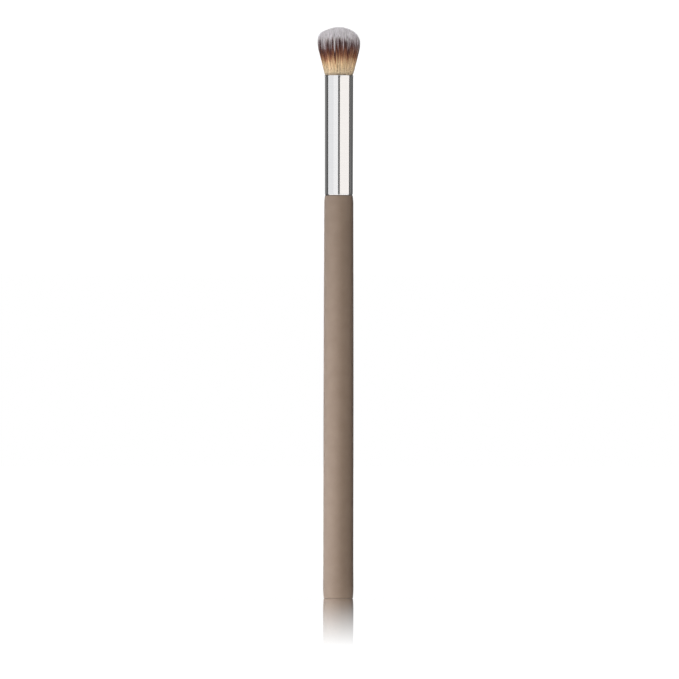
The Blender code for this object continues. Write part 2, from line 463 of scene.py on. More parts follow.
@dataclass(frozen=True)
class SoftTouchLacquer:
    """Matte, slightly rubbery lacquer, sprayed on the wood."""

    name: str = "soft_touch_lacquer"
    light: Colour = (173, 154, 140)
    dark: Colour = (167, 148, 134)
    cloud_scale: float = 220.0
    cloud_detail: float = 3.0
    cloud_span: Span = (0.35, 0.65)
    worn: Colour = (158, 140, 126)
    worn_height: float = 0.0007
    painted_joint_shade: Colour = (104, 90, 80)
    painted_joint_shade_height: float = 0.0003
    roughness: float = 0.58
    roughness_swing: float = 0.05
    speckle_scale: float = 9000.0
    speckle_depth: float = 0.000006
    specular: float = 0.35
    sheen: float = 0.06
    sheen_roughness: float = 0.5

    def make(self) -> Material:
        """Make the finish.

        Returns:
            The material, worn at the brush's end, with painted shade at its joint with the ferrule.
        """
        shade = Shade(self.name)
        place = shade.place()
        height = shade.split(place)[2]
        cloud = shade.noise(place, self.cloud_scale, self.cloud_detail)
        cloud = shade.ramp(cloud, *self.cloud_span, 0.0, 1.0)
        fine = shade.noise(place, self.speckle_scale)
        colour = shade.blend(cloud, linear(self.dark), linear(self.light))
        edge = shade.ramp(height, 0.0, self.worn_height, 1.0, 0.0)
        colour = shade.blend(shade.math("MULTIPLY", edge, cloud), colour, linear(self.worn))
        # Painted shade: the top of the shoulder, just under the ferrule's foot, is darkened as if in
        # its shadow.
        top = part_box("ferrule")[0].z
        edge = shade.ramp(height, top - self.painted_joint_shade_height, top, 0.0, 1.0)
        colour = shade.blend(edge, colour, linear(self.painted_joint_shade))
        smooth, rough = self.roughness - self.roughness_swing, self.roughness + self.roughness_swing
        shade.set(base_color=colour, roughness=shade.ramp(fine, *NOISE_SPAN, smooth, rough),
                  specular_ior_level=self.specular, sheen_weight=self.sheen,
                  sheen_roughness=self.sheen_roughness)
        shade.bump(fine, self.speckle_depth)
        return shade.material


@dataclass(frozen=True)
class PolishedTube:
    """Drawn aluminium, buffed on a lathe, with faint rings and smears left by the buff."""

    name: str = "polished_ferrule"
    light: Colour = (247, 246, 245)
    dark: Colour = (240, 239, 238)
    roughness: float = 0.07
    smear: float = 0.03
    smear_scale: float = 400.0
    smear_mottle: float = 0.5
    ring_scale: float = 2500.0
    ring_stretch: tuple[float, float, float] = (0.03, 0.03, 1.0)
    ring_depth: float = 0.0000002

    def make(self) -> Material:
        """Make the finish.

        Returns:
            The material.
        """
        shade = Shade(self.name)
        place = shade.place()
        rings = shade.noise(shade.stretch(place, self.ring_stretch), self.ring_scale)
        smears = shade.noise(place, self.smear_scale, roughness=self.smear_mottle)
        rough = self.roughness + self.smear
        shade.set(base_color=shade.blend(rings, linear(self.dark), linear(self.light)), metallic=1.0,
                  roughness=shade.ramp(smears, *NOISE_SPAN, self.roughness, rough))
        shade.bump(rings, self.ring_depth)
        return shade.material


@dataclass(frozen=True)
class DyedFibre:
    """Synthetic hair, dyed in three bands along its length, with painted shade at its foot.

    The map's first axis tells the fibres apart, and its second is the place along the dye.
    """

    name: str = "dyed_fibre"
    bands: tuple[tuple[float, Colour], ...] = (
        # The first stops darken the fibres' foot: painted shade where they go into the ferrule's rim.
        (0.00, (104, 96, 80)),
        (0.02, (132, 120, 100)),
        (0.035, (168, 156, 136)),
        (0.06, (198, 184, 158)),
        (0.12, (206, 188, 158)),
        (0.225, (208, 184, 148)),
        (0.29, (186, 154, 120)),
        (0.352, (150, 106, 79)),
        (0.417, (104, 60, 46)),
        (0.48, (74, 42, 39)),
        (0.57, (78, 56, 58)),
        (0.66, (120, 104, 106)),
        (0.715, (160, 152, 155)),
        (0.76, (186, 182, 187)),
        (0.83, (208, 208, 215)),
        (1.00, (220, 222, 228)),
    )
    cool: Colour = (255, 249, 255)
    warm: Colour = (252, 252, 244)
    tint_span: Span = (0.35, 0.65)
    mottle_stretch: tuple[float, float, float] = (60.0, 3.0, 1.0)
    mottle: float = 0.08
    # Painted shade: fibres whose tone lies under shadow_tone are darkened by the factor shadow.
    shadow_tone: float = 0.16
    shadow: float = 0.75
    fade: float = 0.20
    roughness: float = 0.42
    specular: float = 0.4

    def make(self) -> Material:
        """Make the finish.

        Returns:
            The material, with painted shade on a random share of the fibres, as if in the shade of the
            others, and at the fibres' foot.
        """
        shade = Shade(self.name)
        where = shade.out("ShaderNodeUVMap", uv_map=FIBRE_MAP)
        across, along, _ = shade.split(where)
        mottle = shade.noise(shade.stretch(where, self.mottle_stretch), 1.0)
        lift = shade.ramp(across, self.shadow_tone, 1.0, 1.0 - self.fade, 1.0 + self.fade)
        # Painted shade on the fibres with the lowest tones.
        painted_fibre_shade = shade.ramp(across, 0.0, self.shadow_tone, self.shadow, 1.0)
        patch = shade.ramp(mottle, *NOISE_SPAN, 1.0 - self.mottle, 1.0 + self.mottle)
        gain = shade.math("MULTIPLY", shade.math("MULTIPLY", lift, patch), painted_fibre_shade)
        colour = shade.blend(1.0, shade.bands(along, self.bands), gain, "MULTIPLY")
        tint = shade.ramp(mottle, *self.tint_span, 0.0, 1.0)
        tint = shade.blend(tint, linear(self.cool), linear(self.warm))
        shade.set(base_color=shade.blend(1.0, colour, tint, "MULTIPLY"), roughness=self.roughness,
                  specular_ior_level=self.specular)
        return shade.material


@dataclass(frozen=True)
class PottingResin:
    """Amber casting resin, faintly cloudy."""

    name: str = "potting_resin"
    clear: Colour = (206, 178, 118)
    cloudy: Colour = (226, 206, 160)
    cloud_scale: float = 1400.0
    cloud_detail: float = 4.0
    cloud_span: Span = (0.4, 0.7)
    cloud_depth: float = 0.00001
    roughness: float = 0.3
    roughness_swing: float = 0.15
    depth: float = 0.2
    depth_reach: float = 0.0006

    def make(self) -> Material:
        """Make the finish.

        Returns:
            The material.
        """
        shade = Shade(self.name)
        cloud = shade.noise(shade.place(), self.cloud_scale, self.cloud_detail)
        share = shade.ramp(cloud, *self.cloud_span, 0.0, 1.0)
        rough = self.roughness + self.roughness_swing
        shade.set(base_color=shade.blend(share, linear(self.clear), linear(self.cloudy)),
                  roughness=shade.ramp(cloud, *NOISE_SPAN, self.roughness, rough),
                  subsurface_weight=self.depth, subsurface_scale=self.depth_reach)
        shade.bump(cloud, self.cloud_depth)
        return shade.material


@dataclass(frozen=True)
class ClearAdhesive:
    """A thin film of clear glue with a few streaks from its spreading."""

    name: str = "clear_adhesive"
    colour: Colour = (226, 220, 200)
    streak: Colour = (206, 196, 166)
    streak_scale: float = 2200.0
    streak_stretch: tuple[float, float, float] = (1.0, 1.0, 0.15)
    streak_detail: float = 3.0
    streak_depth: float = 0.00001
    roughness: float = 0.25
    roughness_swing: float = 0.2
    clearness: float = 0.3

    def make(self) -> Material:
        """Make the finish.

        Returns:
            The material.
        """
        shade = Shade(self.name)
        place = shade.stretch(shade.place(), self.streak_stretch)
        streaks = shade.noise(place, self.streak_scale, self.streak_detail)
        rough = self.roughness + self.roughness_swing
        shade.set(base_color=shade.blend(streaks, linear(self.streak), linear(self.colour)),
                  roughness=shade.ramp(streaks, *NOISE_SPAN, self.roughness, rough),
                  transmission_weight=self.clearness)
        shade.bump(streaks, self.streak_depth)
        return shade.material


@dataclass
class Ferrule:
    """The drawn tube: a slight flare to its rim, a turned-in lip at its foot."""

    lower_diameter: float = 0.0083
    upper_diameter: float = 0.0084
    rim_diameter: float = 0.00856
    flare: float = 0.0014
    wall: float = 0.00035
    edge: float = 0.00012
    lip_height: float = 0.0005
    lip_turn: float = 0.00006
    steps: int = 24
    edge_steps: int = 6
    sides: int = 192

    def ends(self) -> tuple[float, float]:
        """Return the heights of the tube's foot and rim."""
        low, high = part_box("ferrule")
        return low.z, high.z

    def radius(self, height: float) -> float:
        """Work out the tube's outer radius.

        Args:
            height: A height between the foot and the rim.

        Returns:
            The radius there.
        """
        foot, rim = self.ends()
        lower, upper = 0.5 * self.lower_diameter, 0.5 * self.upper_diameter
        lip_top, flare_foot = foot + self.lip_height, rim - self.flare
        if height < lip_top:
            return lower - self.lip_turn * ((lip_top - height) / self.lip_height) ** 2
        if height <= flare_foot:
            return lower + (upper - lower) * (height - lip_top) / (flare_foot - lip_top)
        return upper + (0.5 * self.rim_diameter - upper) * ((height - flare_foot) / self.flare) ** 2

    def heights(self) -> list[float]:
        """List the outline's rings between its rounded ends.

        Returns:
            Their heights, downwards.
        """
        foot, rim = self.ends()
        lip_top, flare_foot = foot + self.lip_height, rim - self.flare
        stretches = ((rim - self.edge, flare_foot), (flare_foot, lip_top), (lip_top, foot + self.edge))
        rings = [high + (low - high) * share
                 for high, low in stretches for share in shares(self.steps)[1:]]
        return rings[:-1]

    def profile(self) -> Profile:
        """Draw the tube's section.

        Returns:
            The closed outline, down the outside and up the bore.
        """
        foot, rim = self.ends()
        edge, steps = self.edge, self.edge_steps
        high, low = rim - edge, foot + edge
        outer, inner = self.radius(rim), self.radius(rim) - self.wall
        outer_foot, inner_foot = self.radius(foot), self.radius(foot) - self.wall
        points = arc((outer - edge, high), edge, 90, 0, steps)
        points += [(self.radius(height), height) for height in self.heights()]
        points += arc((outer_foot - edge, low), edge, 0, -90, steps)
        points += arc((inner_foot + edge, low), edge, -90, -180, steps)
        points += [(self.radius(height) - self.wall, height) for height in reversed(self.heights())]
        points += arc((inner + edge, high), edge, 180, 90, steps)
        points.append(points[0])
        return points

    def build(self) -> Piece:
        """Turn the ferrule and dress it."""
        piece = Lathe(self.sides).turn("polished_ferrule", self.profile(), PolishedTube().make())
        return dress(piece, "ferrule")


@dataclass
class Handle:
    """The turned, lacquered handle with the tenon that the ferrule slides over."""

    ferrule: Ferrule
    seat_gap: float = 0.00004
    diameter: float = 0.00894
    shoulder_diameter: float = 0.00866
    shoulder_height: float = 0.0022
    shoulder_inset: float = 0.00004
    shoulder_rounding: float = 1.7
    taper_length: float = 0.072
    foot_height: float = 0.0034
    foot_blend: float = 0.0085
    end_diameter: float = 0.00872
    end_edge: float = 0.00022
    end_inset: float = 0.00066
    tenon_clearance: float = 0.00045
    tenon_chamfer: float = 0.0004
    steps: int = 14
    edge_steps: int = 6
    sides: int = 144

    def tenon(self) -> Profile:
        """Draw the tenon.

        Returns:
            Its outline, from its top to the shoulder's height.
        """
        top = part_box("handle")[1].z
        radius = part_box("adhesive_sleeve")[1].x - self.tenon_clearance
        return [(0.0, top), (radius - self.tenon_chamfer, top), (radius, top - self.tenon_chamfer),
                (radius, self.shoulder_top())]

    def shoulder_top(self) -> float:
        """Return the height of the shoulder, under the ferrule's foot."""
        return self.ferrule.ends()[0] - self.seat_gap

    def profile(self) -> Profile:
        """Draw the handle's outer side.

        Returns:
            The outline, down from the tenon's top to the flat end.
        """
        shoulder, body = 0.5 * self.shoulder_diameter, 0.5 * self.diameter
        foot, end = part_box("handle")[1].x, 0.5 * self.end_diameter
        seat = 0.5 * self.ferrule.lower_diameter - self.shoulder_inset
        shoulder_foot = self.shoulder_top() - self.shoulder_height
        points = self.tenon()
        points += [(shoulder - (shoulder - seat) * share ** self.shoulder_rounding,
                    shoulder_foot + self.shoulder_height * share)
                   for share in reversed(shares(self.steps))]
        points += [(shoulder + (body - shoulder) * math.sin(0.5 * math.pi * share),
                    shoulder_foot - self.taper_length * share)
                   for share in shares(self.steps)[1:]]
        points += [(body + (foot - body) * (0.5 - 0.5 * math.cos(math.pi * share)),
                    self.foot_height + self.foot_blend * (1.0 - share))
                   for share in shares(self.steps)]
        points += [(foot - (foot - end) * share ** 2,
                    self.foot_height - (self.foot_height - self.end_edge) * share)
                   for share in shares(self.steps)[1:-1]]
        points += arc((end - self.end_edge, self.end_edge), self.end_edge, 0, -90, self.edge_steps)
        points += [(end - self.end_inset, 0.0), (0.0, 0.0)]
        return points

    def build(self) -> Piece:
        """Turn the handle and dress it."""
        piece = Lathe(self.sides).turn("turned_handle", self.profile(), SoftTouchLacquer().make())
        return dress(piece, "handle")


class Layer(Enum):
    """The tuft's rings of fibres, from its heart to its outer side."""

    HEART = ("bristle_heart", 0.0, 0.4808, 2500)
    CORE = ("bristle_core", 0.4808, 0.68, 2500)
    INNER = ("bristle_inner", 0.68, 0.7808, 2300)
    OUTER = ("bristle_outer", 0.7808, 0.87, 2300)
    COAT = ("bristle_coat", 0.87, 0.9293, 2500)
    SHEATH = ("bristle_sheath", 0.9293, 0.985, 2500)

    def __init__(self, title: str, inner: float, outer: float, strands: int) -> None:
        """Name what a ring holds.

        Args:
            title: The piece's name.
            inner: The ring's inner share of the tuft's radius.
            outer: Its outer share.
            strands: How many fibres it has.
        """
        self.title = title
        self.inner = inner
        self.outer = outer
        self.strands = strands


class Draw(Enum):
    """The random draws, by each fibre or by each lock of fibres."""

    LOCK_HOME = ("lock", 1)
    HOME = ("strand", 3)
    END = ("strand", 5)
    LOCK_END = ("lock", 6)
    PULL = ("strand", 7)
    LEAN_X = ("strand", 8)
    LEAN_Y = ("strand", 9)
    LOCK_DYE = ("lock", 10)
    DYE = ("strand", 11)
    LOCK_TONE = ("lock", 12)
    TONE = ("strand", 13)
    LOCK_REACH = ("lock", 14)
    STRAY = ("strand", 15)
    LOCK_TIP = ("lock", 15)

    def __init__(self, key: str, number: int) -> None:
        """Name what a draw holds.

        Args:
            key: Who draws: a fibre or its lock.
            number: The draw's own number, added to the seed.
        """
        self.key = key
        self.number = number


@dataclass
class TuftShape:
    """The sizes of the tuft and of its fibres.

    Heights are above the ferrule's rim. Places on the disc and along the dye are shares.
    """

    # The silhouette, as heights and diameters.
    outline: tuple[tuple[float, float], ...] = (
        (0.0004, 0.0086),
        (0.0068, 0.0118),
        (0.0080, 0.01235),
        (0.0092, 0.0126),
        (0.0145, 0.0123),
    )
    rim_clearance: float = 0.0005
    root_depth: float = 0.0015
    sway: float = 0.00004
    sway_from: float = 0.0070
    sway_to: float = 0.0088

    # The dome, which falls off from the middle of the crown to its edge.
    dome_height: float = 0.0026
    dome_tilt: float = 0.0006
    dome_fullness: float = 2.2
    dome_skew: float = 0.35
    edge_drop: float = 0.0009
    edge_from: float = 0.88
    ragged: float = 0.00030
    lock_ragged: float = 0.00030

    # The fibres, and the locks that they gather in.
    locks: int = 2500
    lock_jitter: float = 0.45
    lock_pull: float = 0.85
    lock_pull_power: float = 2.0
    lock_pull_swing: Span = (0.5, 1.4)
    strand_jitter: float = 0.3
    strand_radius: float = 0.000038
    strand_sides: int = 3
    points: int = 10
    point_power: float = 1.25
    lean: float = 0.023
    lean_power: float = 1.5
    stray_share: float = 0.02
    stray_length: float = 0.00040
    stray_lean: float = 0.02
    tip_from: float = 0.55
    tip_share: float = 0.35

    # The dye: how far it shifts, where along the fibre it does, and its pale end.
    dye_lock_shift: float = 0.075
    dye_strand_shift: float = 0.025
    dye_side_shift: float = 0.03
    dye_side_scale: float = 4.0
    dye_side_detail: float = 1.0
    dye_side_mottle: float = 0.5
    dye_side_gain: float = 4.0
    dye_reach: float = 0.03
    dye_reach_power: float = 4.0
    dye_spike: float = 0.04
    dye_spike_middle: float = 0.45
    dye_shift_span: Span = (0.10, 0.30)
    dye_calm_span: Span = (0.82, 0.94)
    dye_least: float = 0.50
    dye_least_span: Span = (0.42, 0.56)
    dye_spread: float = 2.4
    dye_spread_span: Span = (0.40, 0.54)
    dye_tip: float = 0.0005
    dye_tip_span: Span = (0.74, 0.84)

    # The map, where each fibre's tone and dye are a place and its section is a tiny triangle.
    lock_tone: float = 0.95
    map_spread: float = 0.004

    # The seed of all that is random, and how many numbers each layer may add to it.
    seed: int = 17
    layer_seeds: int = 40


class FibreSketch(GeometrySketch):
    """Grows one layer of fibres: planted in a disc, gathered in locks, bent, dyed and thickened.

    Places in the disc are shares of the tuft's radius. Each fibre keeps its own place, its
    lock's place and both numbers, so every later step can tell the fibres apart.
    """

    KEPT: dict[str, str] = {
        "home": "FLOAT_VECTOR",
        "lock_home": "FLOAT_VECTOR",
        "lock": "FLOAT",
        "strand": "FLOAT",
        "dye": "FLOAT",
        "tone": "FLOAT",
        "ring": "FLOAT_VECTOR",
    }

    def __init__(self, shape: TuftShape, layer: Layer) -> None:
        """Name the sizes that every step reads.

        Args:
            shape: The tuft's sizes.
            layer: Which ring of the tuft this is.
        """
        super().__init__("grow_" + layer.title)
        self.shape = shape
        self.layer = layer
        self.seed = shape.seed + shape.layer_seeds * list(Layer).index(layer)
        rim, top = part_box("ferrule")[1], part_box("bristle_tuft")[1]
        self.rim = self.value("Rim Height", rim.z)
        self.top = self.value("Top Height", top.z)
        self.root = self.value("Root Height", rim.z - shape.root_depth)
        inside = rim.x - shape.rim_clearance
        self.stations = [(self.root, self.value("Root Radius", inside)),
                         (self.rim, self.value("Rim Radius", inside))]
        for number, (height, diameter) in enumerate(shape.outline, start=1):
            self.stations.append((self.value(f"Height {number}", rim.z + height),
                                  self.value(f"Radius {number}", 0.5 * diameter)))

    def fetch(self, key: str) -> Socket:
        """Return what a fibre keeps under a key."""
        return self.recall("fibre_" + key, self.KEPT[key])

    def store(self, geometry: Socket, key: str, amount: Feed) -> Socket:
        """Let each fibre keep an amount under a key."""
        return self.keep(geometry, "fibre_" + key, amount, self.KEPT[key], "POINT")

    def seed_of(self, draw: Draw) -> int:
        """Return a draw's seed, which all layers share where the locks draw."""
        return draw.number + (self.shape.seed if draw.key == "lock" else self.seed)

    def chance(self, draw: Draw, low: float = 0.0, high: float = 1.0) -> Socket:
        """Return a random number for each fibre or for each lock."""
        return self.random(low, high, self.fetch(draw.key), self.seed_of(draw))

    def sunflower(self, count: Feed, inner: Feed, outer: Feed, jitter: float, draw: Draw) -> Socket:
        """Spread points evenly over a ring of the unit disc.

        Args:
            count: How many points there are.
            inner: The ring's inner radius.
            outer: The ring's outer radius.
            jitter: How far a point may lie from its even place.
            draw: The draw of the jitter.

        Returns:
            The points' places.
        """
        index = self.out("GeometryNodeInputIndex")
        share = self.math("DIVIDE", self.math("ADD", index, 0.5), count)
        low, high = self.math("POWER", inner, 2.0), self.math("POWER", outer, 2.0)
        area = self.math("MULTIPLY_ADD", share, self.math("SUBTRACT", high, low), low)
        radius = self.math("SQRT", area)
        angle = self.math("MULTIPLY", index, GOLDEN_ANGLE)
        x = self.math("MULTIPLY", radius, self.math("COSINE", angle))
        y = self.math("MULTIPLY", radius, self.math("SINE", angle))
        seed = self.seed_of(draw)
        return self.join(self.math("ADD", x, self.random(-jitter, jitter, index, seed)),
                         self.math("ADD", y, self.random(-jitter, jitter, index, seed + 1)), 0.0)

    def size(self, name: str) -> Socket:
        """Add one of the tuft's sizes as an input that is named after it."""
        return self.value(name.replace("_", " ").title(), getattr(self.shape, name))

    def plant(self) -> Socket:
        """Plant the layer.

        Returns:
            Its fibres, as straight lines that know their place and their lock.
        """
        shape, layer = self.shape, self.layer
        locks, strands = self.size("locks"), self.value("Strands", layer.strands)
        jitter = shape.lock_jitter / math.sqrt(shape.locks)
        spots = self.sunflower(locks, 0.0, 1.0, jitter, Draw.LOCK_HOME)
        spots = self.out("GeometryNodePoints", locks, spots, 0.0)
        inner, outer = self.value("Inner Share", layer.inner), self.value("Outer Share", layer.outer)
        jitter = shape.strand_jitter / math.sqrt(layer.strands)
        home = self.sunflower(strands, inner, outer, jitter, Draw.HOME)
        number = self.out("GeometryNodeSampleNearest", spots, home, domain="POINT")
        flow = self.out("GeometryNodePoints", strands, (0.0, 0.0, 0.0), 0.0)
        flow = self.store(flow, "home", home)
        flow = self.store(flow, "lock_home", self.sample(spots, number))
        flow = self.store(flow, "lock", number)
        flow = self.store(flow, "strand", self.out("GeometryNodeInputIndex"))
        line = self.out("GeometryNodeCurvePrimitiveLine", (0.0, 0.0, 0.0), (0.0, 0.0, 1.0))
        line = self.out("GeometryNodeResampleCurve", line, None, self.size("points"))
        lines = self.out("GeometryNodeInstanceOnPoints", flow, None, line)
        return self.out("GeometryNodeRealizeInstances", lines)

    def stray(self) -> Socket:
        """Return 1 for the few fibres that stand out of the crown, and 0 for the rest."""
        return self.math("LESS_THAN", self.chance(Draw.STRAY), self.size("stray_share"))

    def tip(self) -> Socket:
        """Find the fibres' ends under the uneven dome.

        Returns:
            The height of each fibre's end.
        """
        home = self.fetch("home")
        x, out = self.split(home)[0], self.length(home)
        dome = self.math("MULTIPLY_ADD", self.size("dome_tilt"), x, self.size("dome_height"))
        fullness = self.math("MULTIPLY_ADD", self.size("dome_skew"), x, self.size("dome_fullness"))
        drop = self.math("MULTIPLY", dome, self.math("POWER", out, fullness))
        edge = self.ramp(out, self.size("edge_from"), 1.0, 0.0, self.size("edge_drop"))
        drop = self.math("ADD", drop, edge)
        drop = self.math("MULTIPLY_ADD", self.size("ragged"), self.chance(Draw.END), drop)
        drop = self.math("MULTIPLY_ADD", self.size("lock_ragged"), self.chance(Draw.LOCK_END), drop)
        rise = self.math("MULTIPLY", self.stray(), self.size("stray_length"))
        return self.math("SUBTRACT", self.top, self.math("SUBTRACT", drop, rise))

    def bundle(self, height: Socket) -> Socket:
        """Work out the tuft's radius, which runs straight between its stations.

        Args:
            height: The height of each point.

        Returns:
            The radius there.
        """
        total = self.stations[0][1]
        for (low, first), (high, last) in zip(self.stations, self.stations[1:]):
            step = self.math("SUBTRACT", last, first)
            total = self.math("ADD", total, self.ramp(height, low, high, 0.0, step))
        return total

    def bend(self, run: Socket, height: Socket) -> Socket:
        """Gather the fibres in their locks and lean them aside.

        Args:
            run: How far along its fibre each point is, from 0 to 1.
            height: The height of each point.

        Returns:
            The place of each point.
        """
        power = self.math("POWER", run, self.size("lock_pull_power"))
        pull = self.math("MULTIPLY", self.size("lock_pull"), power)
        pull = self.math("MULTIPLY", pull, self.chance(Draw.PULL, *self.shape.lock_pull_swing))
        spot = self.out("ShaderNodeMix", pull, self.fetch("home"), self.fetch("lock_home"),
                        data_type="VECTOR")
        lean = self.math("MULTIPLY_ADD", self.stray(), self.size("stray_lean"), self.size("lean"))
        lean = self.math("MULTIPLY", lean, self.math("POWER", run, self.size("lean_power")))
        aside = self.join(self.chance(Draw.LEAN_X, -1.0, 1.0), self.chance(Draw.LEAN_Y, -1.0, 1.0), 0.0)
        spot = self.out("ShaderNodeVectorMath", spot, self.scale(aside, lean), operation="ADD")
        x, y, _ = self.split(self.scale(spot, self.bundle(height)))
        low, high = (self.math("ADD", self.rim, self.size(name)) for name in ("sway_from", "sway_to"))
        sway = self.ramp(height, low, high, 0.0, self.size("sway"))
        return self.join(self.math("SUBTRACT", x, sway), y, height)

    def beside(self, home: Socket) -> Socket:
        """Work out how far a fibre lies beside its lock, seen from the tuft's axis.

        Args:
            home: The place of each fibre.

        Returns:
            The distance, measured against the space between locks.
        """
        across = self.out("ShaderNodeVectorMath", home, self.fetch("lock_home"),
                          operation="CROSS_PRODUCT")
        across = self.math("DIVIDE", self.length(across), self.length(home))
        return self.math("MULTIPLY", across, math.sqrt(self.shape.locks))

    def side_shift(self, home: Socket) -> Socket:
        """Shift the dye on some sides of the tuft.

        Args:
            home: The place of each fibre.

        Returns:
            The shift there, in shares of the free length.
        """
        scale = self.size("dye_side_scale")
        side = self.noise(home, scale, self.shape.dye_side_detail, self.shape.dye_side_mottle)
        side = self.math("MULTIPLY", self.math("SUBTRACT", side, 0.5), self.size("dye_side_gain"))
        return self.math("MULTIPLY", self.size("dye_side_shift"), side)

    def lock_shift(self, home: Socket) -> Socket:
        """Shift the dye by lock and by fibre, most in the middle of each lock.

        Args:
            home: The place of each fibre.

        Returns:
            The shift of each fibre, in shares of the free length.
        """
        chance = self.chance(Draw.LOCK_DYE, -1.0, 1.0)
        shift = self.math("MULTIPLY", self.size("dye_lock_shift"), chance)
        chance = self.chance(Draw.DYE, -1.0, 1.0)
        shift = self.math("MULTIPLY_ADD", self.size("dye_strand_shift"), chance, shift)
        reach = self.math("POWER", self.chance(Draw.LOCK_REACH), self.size("dye_reach_power"))
        reach = self.math("MULTIPLY", self.size("dye_reach"), reach)
        shift = self.math("SUBTRACT", shift, reach)
        inward = self.math("SUBTRACT", self.size("dye_spike_middle"), self.beside(home))
        return self.math("MULTIPLY_ADD", self.size("dye_spike"), inward, shift)

    def dye(self, height: Socket, tip: Socket) -> Socket:
        """Dye the fibres: each lock and each fibre takes the dye up differently.

        Args:
            height: The height of each point.
            tip: The height of its fibre's end, where the dye always ends too.

        Returns:
            The place along the dye, from 0 at the rim to 1 at the tip.
        """
        shape, home = self.shape, self.fetch("home")
        free = self.math("SUBTRACT", self.top, self.rim)
        place, crown = (self.math("DIVIDE", self.math("SUBTRACT", level, self.rim), free)
                        for level in (height, tip))
        away = self.ramp(place, *shape.dye_shift_span, 0.0, 1.0)
        calm = self.ramp(place, *shape.dye_calm_span, 1.0, 0.0)
        away = self.math("MULTIPLY", away, calm)
        spread = self.math("ADD", 1.0, self.size("dye_spread"))
        spread = self.ramp(place, *shape.dye_spread_span, 1.0, spread)
        shift = self.math("MULTIPLY_ADD", self.lock_shift(home), spread, self.side_shift(home))
        least = self.ramp(place, *shape.dye_least_span, 0.0, self.size("dye_least"))
        place = self.math("MAXIMUM", self.math("MULTIPLY_ADD", shift, away, place), least)
        pale = self.ramp(crown, *shape.dye_tip_span, self.chance(Draw.LOCK_TIP), 1.0)
        end = self.ramp(self.math("SUBTRACT", tip, height), 0.0, self.size("dye_tip"), pale, 0.0)
        place = self.math("MULTIPLY_ADD", end, self.math("SUBTRACT", 1.0, place), place)
        return self.ramp(place, 0.0, 1.0, *MAP_SPAN)

    def tone(self) -> Socket:
        """Return how light each fibre is, in part by its lock and in part by itself."""
        tone = self.out("ShaderNodeMix", self.size("lock_tone"), self.chance(Draw.TONE),
                        self.chance(Draw.LOCK_TONE), data_type="FLOAT")
        return self.ramp(tone, 0.0, 1.0, *MAP_SPAN)

    def thicken(self, lines: Socket) -> Socket:
        """Give the fibres a section that tapers to their ends, and their map.

        Args:
            lines: The bent and dyed fibres.

        Returns:
            The fibres as closed tubes.
        """
        radius = self.size("strand_radius")
        fine = self.math("MULTIPLY", radius, self.size("tip_share"))
        along = self.put("GeometryNodeSplineParameter").outputs["Factor"]
        fine = self.ramp(along, self.size("tip_from"), 1.0, radius, fine)
        ring = self.out("GeometryNodeCurvePrimitiveCircle", self.size("strand_sides"), 1.0)
        ring = self.store(ring, "ring", self.position())
        lines = self.out("GeometryNodeSetCurveRadius", lines, None, fine)
        width = self.out("GeometryNodeInputRadius")
        flow = self.out("GeometryNodeCurveToMesh", lines, ring, width, True)
        x, y, _ = self.split(self.fetch("ring"))
        spread = self.size("map_spread")
        place = self.join(self.math("MULTIPLY_ADD", x, spread, self.fetch("tone")),
                          self.math("MULTIPLY_ADD", y, spread, self.fetch("dye")), 0.0)
        flow = self.keep(flow, FIBRE_MAP, place, "FLOAT2", "CORNER")
        for key in self.KEPT:
            flow = self.out("GeometryNodeRemoveAttribute", flow, "fibre_" + key)
        return flow

    def build(self, material: Material) -> Piece:
        """Grow the layer as one piece.

        Args:
            material: The dyed finish.

        Returns:
            The layer.
        """
        lines = self.plant()
        run = self.math("POWER", self.split(self.position())[2], self.size("point_power"))
        tip = self.tip()
        height = self.math("MULTIPLY_ADD", run, self.math("SUBTRACT", tip, self.root), self.root)
        lines = self.store(lines, "dye", self.dye(height, tip))
        lines = self.store(lines, "tone", self.tone())
        bent = self.out("GeometryNodeSetPosition", lines, None, self.bend(run, height))
        self.close(self.out("GeometryNodeSetShadeSmooth", self.thicken(bent)), material)
        return self.grow(self.layer.title, bpy.data.meshes.new(self.layer.title + "_seed"))


@dataclass
class Tuft:
    """The domed tuft: its layers of fibres, and the potted root that holds them."""

    shape: TuftShape = field(default_factory=TuftShape)
    root_below_rim: float = 0.0012
    root_edge: float = 0.0002
    root_edge_steps: int = 4
    root_sides: int = 64

    def potted_root(self) -> Piece:
        """Turn the root of fused fibres, hidden in the ferrule.

        Returns:
            The root.
        """
        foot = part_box("bristle_tuft")[0].z
        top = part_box("ferrule")[1].z - self.root_below_rim
        radius, edge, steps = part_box("resin_plug")[1].x, self.root_edge, self.root_edge_steps
        profile = [(0.0, top)]
        profile += arc((radius - edge, top - edge), edge, 90, 0, steps)
        profile += arc((radius - edge, foot + edge), edge, 0, -90, steps)
        profile.append((0.0, foot))
        material = PottingResin(name="root_resin").make()
        return Lathe(self.root_sides).turn("potted_root", profile, material)

    def build(self) -> list[Piece]:
        """Build every layer and the root.

        Returns:
            The dressed pieces.
        """
        material = DyedFibre().make()
        pieces = [FibreSketch(self.shape, layer).build(material) for layer in Layer]
        pieces.append(self.potted_root())
        return [dress(piece, "bristle_tuft") for piece in pieces]


@dataclass
class HiddenJoint:
    """The resin plug and the glue film inside the ferrule, which keep their solids."""

    finishes: tuple[tuple[str, PottingResin | ClearAdhesive], ...] = (
        ("resin_plug", PottingResin()),
        ("adhesive_sleeve", ClearAdhesive()),
    )

    def build(self) -> list[Piece]:
        """Dress both solids.

        Returns:
            The solids.
        """
        pieces = []
        for node, finish in self.finishes:
            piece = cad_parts[node]
            material = finish.make()
            for slot in piece.material_slots:
                slot.material = material
            pieces.append(piece)
        return pieces


